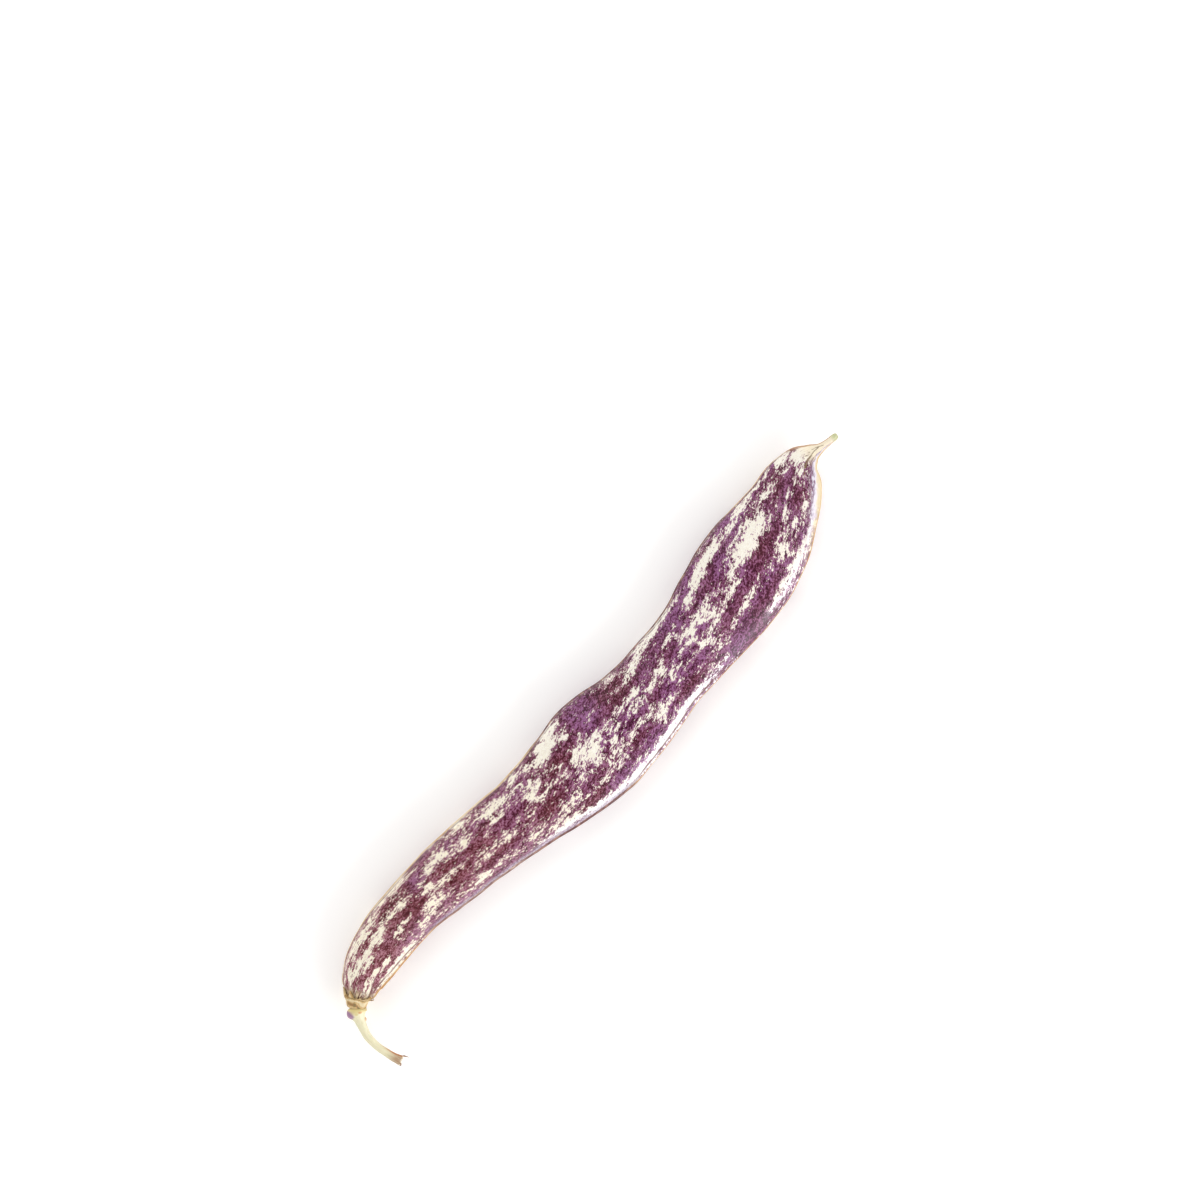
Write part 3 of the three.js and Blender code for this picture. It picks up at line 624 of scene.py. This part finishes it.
def stem():
    distance = np.linspace(-SEAT_RISE, stem_line.length, STEM_RINGS)
    turns = 360 * np.arange(STEM_SIDES) / STEM_SIDES
    d, degrees = np.meshgrid(distance, turns, indexing="ij")
    a = np.radians(degrees)
    here, forward, side, up = stem_line.frame(np.maximum(d, 0))
    middle = here[..., :3] + forward * np.minimum(d, 0)[..., None]

    swelling, nub = patch(d, degrees, *SWELLING), patch(d, degrees, *NUB)
    past, out = cut_fibres(d, degrees)
    radius = plain_radius(d, a, here[..., STEM_THICKNESS])
    radius = radius + SWELLING_HEIGHT * swelling + NUB_HEIGHT * nub + out
    flat = middle + side * (radius * np.cos(a))[..., None] + up * (radius * np.sin(a))[..., None]
    face = [
        middle[-1] + (flat[-1] - middle[-1]) * share - forward[-1] * depth
        for share, depth in CUT_FACE
    ]
    in_cut = np.r_[np.zeros(STEM_RINGS + 1), np.ones(len(CUT_FACE) - 1)]

    def grow(values):
        """Values for the rings of the cut face too, which are those of the last ring."""
        return np.concatenate([values, np.repeat(values[-1:], len(CUT_FACE), 0)])

    return loft("cut_stem", np.concatenate([flat + forward * past[..., None], face]), dict(
        grain=grow(np.stack([d, np.cos(a), np.sin(a)], -1)),
        along=grow(d),
        knob=grow(patch(d, degrees, *PURPLE_KNOB)),
        nub=grow(nub),
        cut=in_cut[:, None] + 0 * a[:1],
        tan_edge=grow(bell(turn_between(degrees, TAN_SIDE), TAN_REACH)),
        spot=grow(patch(d, degrees, *ORANGE_SPOT)),
        stain=grow(patch(d, degrees, *YELLOW_STAIN)),
        past=grow(past),
    ))


# ---- Materials ----

def linear(hex_colour):
    """Scene-linear RGBA of a #rrggbb colour."""
    parts = [int(hex_colour[i:i + 2], 16) / 255 for i in (1, 3, 5)]
    return (*[p / 12.92 if p <= 0.04045 else ((p + 0.055) / 1.055) ** 2.4 for p in parts], 1)


class Paint:
    """A material, and short calls that add nodes to it and return their output sockets."""

    def __init__(self, name):
        self.material = bpy.data.materials.new(name)
        self.material.use_nodes = True
        self.tree = self.material.node_tree
        self.shader = self.tree.nodes["Principled BSDF"]

    def plug(self, socket, value):
        if isinstance(value, bpy.types.NodeSocket):
            self.tree.links.new(value, socket)
        else:
            socket.default_value = value

    def node(self, kind, inputs, output=0, **settings):
        made = self.tree.nodes.new(kind)
        for key, value in settings.items():
            setattr(made, key, value)
        for key, value in inputs.items():
            self.plug(made.inputs[key], value)
        return made.outputs[output]

    def read(self, name, output="Fac"):
        """A value that loft() put on the mesh."""
        return self.node("ShaderNodeAttribute", {}, output, attribute_name=name)

    def noise(self, place, scale, detail, roughness=0.55, distortion=0.0, squeeze=None):
        """Noise from 0 to 1. A squeeze of its first axis below 1 draws it out along the grain."""
        if squeeze is not None:
            factors = (squeeze, 1, 1)
            place = self.node("ShaderNodeVectorMath", {0: place, 1: factors}, operation="MULTIPLY")
        return self.node("ShaderNodeTexNoise", {
            "Vector": place, "Scale": scale, "Detail": detail, "Roughness": roughness,
            "Distortion": distortion,
        })

    def math(self, operation, a, b):
        return self.node("ShaderNodeMath", {0: a, 1: b}, operation=operation)

    def times(self, first, *others):
        for other in others:
            first = self.math("MULTIPLY", first, other)
        return first

    def total(self, *terms):
        """Sum of (socket, weight) pairs."""
        result = 0.0
        for socket, weight in terms:
            inputs = {0: socket, 1: weight, 2: result}
            result = self.node("ShaderNodeMath", inputs, operation="MULTIPLY_ADD")
        return result

    def step(self, value, low, high, to_low=0.0, to_high=1.0):
        """An eased change from to_low to to_high, while the value goes from low to high."""
        return self.node("ShaderNodeMapRange", {
            "Value": value, "From Min": low, "From Max": high, "To Min": to_low, "To Max": to_high,
        }, interpolation_type="SMOOTHSTEP")

    def band(self, value, rise, fall):
        """1 between two steps, which are pairs of values, and 0 on both sides of them."""
        return self.total((self.step(value, *rise), 1.0), (self.step(value, *fall), -1.0))

    def mix(self, factor, a, b):
        a, b = (linear(c) if isinstance(c, str) else c for c in (a, b))
        return self.node("ShaderNodeMix", {0: factor, 6: a, 7: b}, 2, data_type="RGBA")

    def ramp(self, value, *stops):
        """Colours at stops (place, #rrggbb) along a value."""
        made = self.tree.nodes.new("ShaderNodeValToRGB")
        self.tree.links.new(value, made.inputs[0])
        elements = made.color_ramp.elements
        for i, (place, colour) in enumerate(stops):
            stop = elements[i] if i < 2 else elements.new(place)
            stop.position, stop.color = place, linear(colour)
        return made.outputs[0]

    def bump(self, height, depth, strength, normal=None):
        """Relief of a depth in millimetres, on top of another relief where one is given."""
        inputs = {"Height": height, "Distance": depth * MM, "Strength": strength}
        if normal is not None:
            inputs["Normal"] = normal
        return self.node("ShaderNodeBump", inputs)

    def finish(self, **inputs):
        for key, value in inputs.items():
            self.plug(self.shader.inputs[key.replace("_", " ")], value)
        return self.material


MOTTLE_MIDDLE, TONE_MIDDLE = 1.06, 3.52  # what the noises add up to in the middle
MOTTLE_EDGE = 0.018  # softness of the purple's edges

# Stretches along the pod, in millimetres from its collar, over which its look changes
GATHERED_BASE, GATHERED_TIP = (22, 6), (136, 145)
WARM_TO_COOL = (35, 78)
# Painted highlight: where the cream beside the belly seam turns near white
PAINTED_GLARE_SPAN = (42, 56), (128, 116)
REDDER_BASE = (24, 8)
CREAM_BEAK = (142, 145)
STROKES_TURN_TAN = (120, 135)
DARK_BACK = (58, 66), (130, 122)
TIP = (122, 138)
# Painted sheen: stretch with lilac highlights beside the belly seam, and where they turn paler
SHEEN_STRETCH = (18, 26), (76, 68)
PALER_SHEEN = (43, 52)
BELLY_LINE_ENDS = (106, 92)
BEAK_BACK_EDGE, BEAK_BELLY_EDGE = (141, 144), (143, 146)
GREEN_TIP = (149.2, 150.2)
STRAW_BASE = (3.2, 1.5)
DULL_BASE, DULL_TIP = (34, 14), (116, 132)
DULL_STRETCH = (95, 101), (115, 110)

# Purples from dark to light, and how light each is
TONES = 0.1, 0.24, 0.5, 0.64, 0.9
REDDISH = "#541a20", "#6e2f36", "#905660", "#a36a75", "#bb8a93"
BROWNISH = "#451118", "#581f29", "#743b43", "#874c57", "#a06978"
VIOLET = "#3c0a27", "#4f1a38", "#6b3357", "#7f466d", "#98638f"


class PodPaint(Paint):
    """The pod's material, with the values and noises that several of its layers use. back and
    belly are the distances from each seam, in millimetres where the seams have full size."""

    def __init__(self):
        super().__init__("mottled_pod_skin")
        self.grain = self.read("grain", "Vector")
        self.along = self.read("along")
        self.zone = self.read("zone")
        self.back = self.read("back")
        self.belly = self.read("belly")
        self.torn = self.noise(self.grain, 1.9, 5, 0.75, distortion=0.25, squeeze=0.36)
        self.grit = self.noise(self.grain, 3.6, 2, 0.6, squeeze=0.7)
        self.threads = self.noise(self.grain, 2.4, 3, squeeze=0.12)
        self.broken = self.step(self.threads, 0.36, 0.56)
        self.at_tip = self.fade(TIP)
        self.sheen_mask = self.span(SHEEN_STRETCH)
        self.paler = self.fade(PALER_SHEEN)

    def fade(self, stretch, most=1.0):
        """A rise over a stretch of the pod."""
        return self.step(self.along, *stretch, 0, most)

    def span(self, stretches):
        """A rise over one stretch of the pod and a fall over another."""
        return self.times(*[self.fade(stretch) for stretch in stretches])


def mottling(p):
    """Above 0 where the skin is purple: the marks, broken up by streaks, torn edges and grit."""
    streaks = p.noise(p.grain, 0.8, 3, 0.6, distortion=0.3, squeeze=0.7)
    gathered = p.math("MAXIMUM", p.fade(GATHERED_BASE), p.fade(GATHERED_TIP, 0.5))
    combed = p.times(p.math("SUBTRACT", p.threads, 0.5), gathered)
    level = p.total(
        (p.read("bias"), 0.17), (streaks, 0.42), (p.torn, 1.15), (p.grit, 0.68), (combed, 0.7)
    )
    return p.math("SUBTRACT", level, MOTTLE_MIDDLE)


def cream_ground(p, level):
    """Cream, warmer at the stem, with a painted highlight at the belly and pink halos by purple."""
    paler_grains = p.step(p.grit, 0.4, 0.6)
    warm = p.mix(paler_grains, "#f0e6cf", "#f9f3e1")
    cool = p.mix(paler_grains, "#f0e9da", "#f8f4e9")
    cream = p.mix(p.fade(WARM_TO_COOL), warm, cool)
    # Painted highlight: the cream turns near white beside the belly seam, over the middle of the pod
    cream = p.mix(p.times(p.span(PAINTED_GLARE_SPAN), p.step(p.belly, 3.2, 2)), cream, "#fdfbfb")
    return p.mix(p.step(level, -0.07, 0, 0, 0.55), cream, "#cf9fa8")


def purple_grains(p, level):
    """Grains from dark plum to mauve: reddish at the stem, then brownish, and violet at the tip."""
    blobs = p.noise(p.grain, 1.1, 4, 0.7, squeeze=0.5)
    grains = p.noise(p.grain, 2.6, 3, 0.7, squeeze=0.75)
    cloud = p.noise(p.grain, 0.16, 2, squeeze=0.4)
    tone = p.total((blobs, 2.3), (grains, 3), (p.grit, 2), (cloud, 0.7), (p.zone, -0.16))
    tone = p.math("SUBTRACT", tone, TONE_MIDDLE)
    reddish, brownish, violet = (
        p.ramp(tone, *zip(TONES, purples)) for purples in (REDDISH, BROWNISH, VIOLET)
    )
    cool = p.total((p.fade(WARM_TO_COOL), 0.65), (p.step(cloud, 0.4, 0.64), 0.35), (p.zone, -0.4))
    tint = p.mix(cool, brownish, violet)
    tint = p.mix(p.step(level, 0.07, 0, 0, 0.35), tint, "#9c6b80")
    return p.mix(p.fade(REDDER_BASE, 0.85), tint, reddish)


def gathered_lines(p, skin):
    """The beak turns cream, and dark lines gather at both ends."""
    skin = p.mix(p.fade(CREAM_BEAK, 0.9), skin, p.mix(p.threads, "#fff8e6", "#f3e2bc"))
    plum, tan = p.mix(p.threads, "#5a2c33", "#7d4b4a"), p.mix(p.threads, "#4b3a24", "#8d7243")
    stroke = p.mix(p.fade(STROKES_TURN_TAN), plum, tan)
    return p.mix(p.step(p.read("strokes"), 0.3, 0.8, 0, 0.8), skin, stroke)


def back_seam(p, skin):
    """The back seam is tan, darker over one long stretch, with a broken line beside it."""
    tan = p.ramp(p.threads, (0.3, "#e6d9c0"), (0.5, "#d3bb95"), (0.7, "#b8936a"))
    seam = p.mix(p.span(DARK_BACK), tan, p.mix(p.broken, "#a98a74", "#5d3640"))
    beside = p.band(p.back, (0.75, 0.95), (1.2, 1.5))
    skin = p.mix(p.times(beside, p.broken, 0.8), skin, "#5f3a3c")
    return p.mix(p.step(p.back, 0.75, 0.5), skin, seam)


def tip_painted_glare(p, skin):
    """From the belly seam inwards the tip is straw, then painted glare, then painted mauve shade."""
    inwards = p.total((p.belly, 1), (p.torn, 2.4), (p.threads, 1.2))
    straw = p.mix(p.threads, "#f0e2c2", "#d9c59c")
    # Painted highlight (a pale lilac glare), and beyond it a painted grey-purple shade band
    glare_band = p.mix(p.step(inwards, 2.6, 3.3), straw, "#e6e0ec")
    glare_band = p.mix(p.step(inwards, 3.45, 3.9), glare_band, "#8a6c84")
    return p.mix(p.times(p.at_tip, p.step(inwards, 4.3, 3.8)), skin, glare_band)


def belly_painted_sheen(p, skin):
    """A painted lilac sheen of grains runs beside the belly seam, over the pod's first half."""
    grains = p.total((p.grit, 0.6), (p.torn, 0.4))
    dark = p.ramp(grains, (0.42, "#4a3044"), (0.49, "#8b7690"), (0.56, "#ddd6e4"))
    pale = p.ramp(grains, (0.4, "#634659"), (0.49, "#a08ba5"), (0.57, "#e4dde9"))
    sheen_colour = p.mix(p.paler, dark, pale)
    # Painted highlight: a lilac sheen, broken up by grains, beside the belly seam
    return p.mix(p.times(p.sheen_mask, p.step(p.belly, 2.6, 1.5, 0, 0.75)), skin, sheen_colour)


def belly_seam(p, skin):
    """The belly seam is brown, darker by the painted sheen and tan at the tip. A line runs by part of
    it.
    """
    beside = p.band(p.belly, (1.15, 1.35), (1.6, 1.95))
    beside = p.times(beside, p.fade(BELLY_LINE_ENDS), p.math("SUBTRACT", 1, p.sheen_mask))
    skin = p.mix(p.times(beside, p.step(p.threads, 0.3, 0.5, 0.25, 0.9)), skin, "#6d4541")
    brown = p.ramp(p.threads, (0.3, "#dcc39c"), (0.5, "#c79f6c"), (0.7, "#a8784a"))
    light, dark = p.mix(p.paler, "#c2a898", "#9c7466"), p.mix(p.paler, "#7a5650", "#5c3434")
    seam = p.mix(p.sheen_mask, brown, p.mix(p.broken, light, dark))
    inwards = p.total((p.belly, 1), (p.at_tip, 0.45), (p.sheen_mask, -0.5))
    skin = p.mix(p.step(inwards, 0.85, 0.55), skin, p.mix(p.at_tip, seam, "#c99c62"))
    return p.mix(p.step(p.belly, 0.12, 0.04, 0, 0.7), skin, "#7c5636")


def dried_ends(p, skin):
    """The beak has tan edges and a green tip, and the base dries to straw with brown lines."""
    reach = p.read("reach")
    back_edge = p.times(p.fade(BEAK_BACK_EDGE), p.step(reach, 0.72, 0.92, 0, 0.9))
    belly_edge = p.times(p.fade(BEAK_BELLY_EDGE), p.step(reach, -0.6, -0.9, 0, 0.7))
    skin = p.mix(back_edge, skin, "#a8743f")
    skin = p.mix(belly_edge, skin, "#c9a56c")
    skin = p.mix(p.fade(GREEN_TIP, 0.7), skin, "#b3bd82")
    straw = p.mix(p.step(p.threads, 0.44, 0.54), "#5a2720", "#e4d3a8")
    return p.mix(p.fade(STRAW_BASE, 0.75), skin, straw)


def pod_relief(p):
    """Low pebbles with a finer grain on them."""
    pebbles = p.bump(p.noise(p.grain, 1.7, 3, 0.5, squeeze=0.8), 0.16, 0.6)
    return p.bump(p.noise(p.grain, 5, 2, 0.5), 0.05, 0.5, pebbles)


def pod_roughness(p):
    """Shiny, but dull at both ends, on the belly seam and over one stretch."""
    return p.total(
        (p.step(p.grit, 0.35, 0.65, 0.24, 0.34), 1), (p.fade(DULL_BASE), 0.3),
        (p.fade(DULL_TIP), 0.3), (p.step(p.belly, 0.9, 0.6), 0.4), (p.span(DULL_STRETCH), 0.25),
    )


def pod_skin():
    p = PodPaint()
    level = mottling(p)
    is_purple = p.step(level, -MOTTLE_EDGE, MOTTLE_EDGE)
    skin = p.mix(is_purple, cream_ground(p, level), purple_grains(p, level))
    for layer in (gathered_lines, back_seam, tip_painted_glare, belly_painted_sheen, belly_seam, dried_ends):
        skin = layer(p, skin)
    return p.finish(
        Base_Color=skin, Roughness=pod_roughness(p), Normal=pod_relief(p), Specular_IOR_Level=0.22
    )


def calyx_skin():
    """Dry fibre with brown or olive ridges round the cup, an orange base and a torn rim."""
    p = Paint("dry_calyx_fibre")
    grain, along = p.read("grain", "Vector"), p.read("along")  # below 0 on the dome
    fibre = p.noise(grain, 3.2, 5, 0.7, squeeze=0.25)
    blotch = p.noise(grain, 0.8, 3)
    colour = p.ramp(fibre, (0.3, "#8f6a3a"), (0.43, "#c9a068"), (0.54, "#e3cb98"), (0.7, "#f6ecd0"))
    colour = p.mix(p.step(blotch, 0.5, 0.66, 0, 0.35), colour, "#bfa766")

    ringed = p.times(p.step(along, 1.3, 0.9), p.step(along, -0.7, -0.2))
    arcs = p.total((p.read("arcs"), 1), (fibre, 1.2), (blotch, 1.2))
    brown_or_olive = p.mix(p.step(blotch, 0.45, 0.6), "#8e5c2c", "#746843")
    colour = p.mix(p.times(ringed, 0.45), colour, "#d0ac74")
    colour = p.mix(p.times(ringed, p.step(arcs, 1.75, 2.15, 0, 0.75)), colour, brown_or_olive)
    colour = p.mix(p.times(ringed, p.step(arcs, 0.9, 0.4, 0, 0.7)), colour, "#efe2bd")

    orange, torn = p.mix(blotch, "#c9935a", "#e0cc8e"), p.mix(fibre, "#7a5430", "#c9a774")
    colour = p.mix(p.step(along, -0.1, -0.6, 0, 0.7), colour, orange)
    colour = p.mix(p.step(p.read("edge"), 0.55, 1, 0, 0.6), colour, torn)
    rough = p.step(fibre, 0.3, 0.7, 0.65, 0.9)
    relief = p.bump(fibre, 0.3, 0.8)
    return p.finish(Base_Color=colour, Roughness=rough, Normal=relief, Specular_IOR_Level=0.3)


def stem_skin():
    """Pale green fibre, with a purple knob by the calyx and a cut end that dries to brown."""
    p = Paint("fresh_cut_stem")
    grain, along = p.read("grain", "Vector"), p.read("along")
    end = stem_line.length
    fibre = p.noise(grain, 3.5, 4, 0.6, squeeze=0.15)
    blotch = p.noise(grain, 1.1, 3, squeeze=0.5)
    colour = p.ramp(fibre, (0.3, "#d6cfa6"), (0.5, "#e6dfbf"), (0.7, "#dfd5ac"))
    colour = p.mix(p.step(blotch, 0.5, 0.7, 0, 0.4), colour, "#d3d8ae")

    colour = p.mix(p.step(along, 0.9, 0.2, 0, 0.8), colour, "#d9c47f")
    colour = p.mix(p.step(p.read("stain"), 0.3, 0.8, 0, 0.7), colour, "#cdbd7c")
    colour = p.mix(p.step(p.read("spot"), 0.3, 0.9, 0, 0.8), colour, "#c98445")
    purples = p.ramp(fibre, (0.35, "#84597f"), (0.55, "#a57f9c"), (0.7, "#c6a6b8"))
    colour = p.mix(p.step(p.read("knob"), 0.2, 0.6), colour, purples)
    colour = p.mix(p.step(p.read("nub"), 0.2, 0.6, 0, 0.9), colour, "#cda377")

    worn = p.times(p.step(along, end - 4, end - 0.6), p.step(fibre, 0.3, 0.6, 0.5, 1))
    colour = p.mix(worn, colour, "#a98668")
    dried = p.times(p.step(along, end - 6, end - 2), p.step(p.read("tan_edge"), 0.3, 0.9))
    colour = p.mix(dried, colour, "#b3733f")
    colour = p.mix(p.step(along, end - 0.3, end - 0.15, 0, 0.9), colour, "#efe2cb")
    colour = p.mix(p.step(p.read("past"), 0.12, 0.3), colour, "#8a5730")
    colour = p.mix(p.read("cut"), colour, p.mix(fibre, "#5b3b22", "#b99a70"))
    rough = p.step(fibre, 0.3, 0.7, 0.45, 0.6)
    relief = p.bump(fibre, 0.2, 0.6)
    return p.finish(Base_Color=colour, Roughness=rough, Normal=relief, Specular_IOR_Level=0.4)


for thing, node, slot, material in (
    (pod(), "pod", "pod_skin", pod_skin()),
    (calyx(), "calyx", "dry_calyx", calyx_skin()),
    (stem(), "stem", "stem_skin", stem_skin()),
):
    thing.data.materials.append(material)
    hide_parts(node)
    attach(thing, "root")


# ---- Floor, light and camera ----

FLOOR_HALF = 1.6
WALLS, CEILING = 1.05, 0.5  # strength of the room's light from the sides and from above
WALLS_END, CEILING_STARTS = 0.6, 0.95  # heights in a room from -1 to 1

VIEW_MIDDLE = np.array([92.92, 15.0, 4.5])  # in the drawing, at the pod's middle height
VIEW_TURN = -49.741
VIEW_WIDTH = 0.24
LENS, SENSOR = 100, 36


def floor():
    mesh = bpy.data.meshes.new("floor")
    corners = [(x * FLOOR_HALF, y * FLOOR_HALF, 0) for x, y in ((-1, -1), (1, -1), (1, 1), (-1, 1))]
    mesh.from_pydata(corners, [], [(0, 1, 2, 3)])
    p = Paint("pale_floor")
    place = p.node("ShaderNodeTexCoord", {}, "Object")
    mesh.materials.append(p.finish(
        Base_Color=p.mix(p.noise(place, 6, 3), "#fbfaf9", "#f8f7f6"), Roughness=0.9,
        Specular_IOR_Level=0.1, Emission_Color=(1, 0.98, 0.97, 1), Emission_Strength=0.16,
    ))
    put("floor", mesh)


def softbox(name, azimuth, elevation, away, size, watts, colour, diffuse=True, gloss=True):
    """An area light aimed at the pod. Azimuth 0 is on +X, and 270 is in front of the belly seam."""
    light = bpy.data.lights.new(name, "AREA")
    light.shape, light.size, light.size_y = "RECTANGLE", *size
    light.energy, light.color = watts, colour
    thing = put(name, light)
    az, el = math.radians(azimuth), math.radians(elevation)
    out = np.array([math.cos(az) * math.cos(el), math.sin(az) * math.cos(el), math.sin(el)])
    thing.location = (out * away).tolist()
    thing.rotation_mode = "QUATERNION"
    thing.rotation_quaternion = thing.location.to_track_quat("Z", "Y")
    thing.visible_diffuse, thing.visible_glossy = diffuse, gloss


def room():
    """Light from all round, which is weaker from straight above."""
    world = bpy.data.worlds.new("room")
    bpy.context.scene.world = world
    world.use_nodes = True
    tree = world.node_tree
    place = tree.nodes.new("ShaderNodeTexCoord")
    split = tree.nodes.new("ShaderNodeSeparateXYZ")
    level = tree.nodes.new("ShaderNodeMapRange")
    level.interpolation_type = "SMOOTHSTEP"
    level.inputs["From Min"].default_value = WALLS_END
    level.inputs["From Max"].default_value = CEILING_STARTS
    level.inputs["To Min"].default_value = WALLS
    level.inputs["To Max"].default_value = CEILING
    tree.links.new(place.outputs["Generated"], split.inputs[0])
    tree.links.new(split.outputs["Z"], level.inputs["Value"])
    tree.links.new(level.outputs[0], tree.nodes["Background"].inputs["Strength"])
    tree.nodes["Background"].inputs["Color"].default_value = (1, 1, 1, 1)


def camera():
    """A view straight down, in which the pod lies on a slant."""
    data = bpy.data.cameras.new("camera")
    data.lens, data.sensor_width = LENS, SENSOR
    data.clip_start, data.clip_end = 0.01, 10
    thing = put("camera", data)
    x, y, z = (VIEW_MIDDLE + SHIFT) * MM
    thing.location = (x, y, VIEW_WIDTH * LENS / SENSOR + z)
    thing.rotation_euler = (0, 0, math.radians(VIEW_TURN))
    bpy.context.scene.camera = thing


floor()
softbox(
    "key", azimuth=272, elevation=30, away=0.62, size=(0.5, 0.2), watts=1.5,
    colour=(1, 0.99, 0.98), gloss=False,
)
softbox(
    "fill", azimuth=50, elevation=42, away=0.9, size=(0.7, 0.4), watts=1.3, colour=(1, 1, 1)
)
softbox(
    "gleam", azimuth=281, elevation=8, away=0.5, size=(0.4, 0.12), watts=6,
    colour=(0.92, 0.92, 1), diffuse=False,
)
room()
camera()
bpy.context.scene.view_settings.view_transform = "Standard"
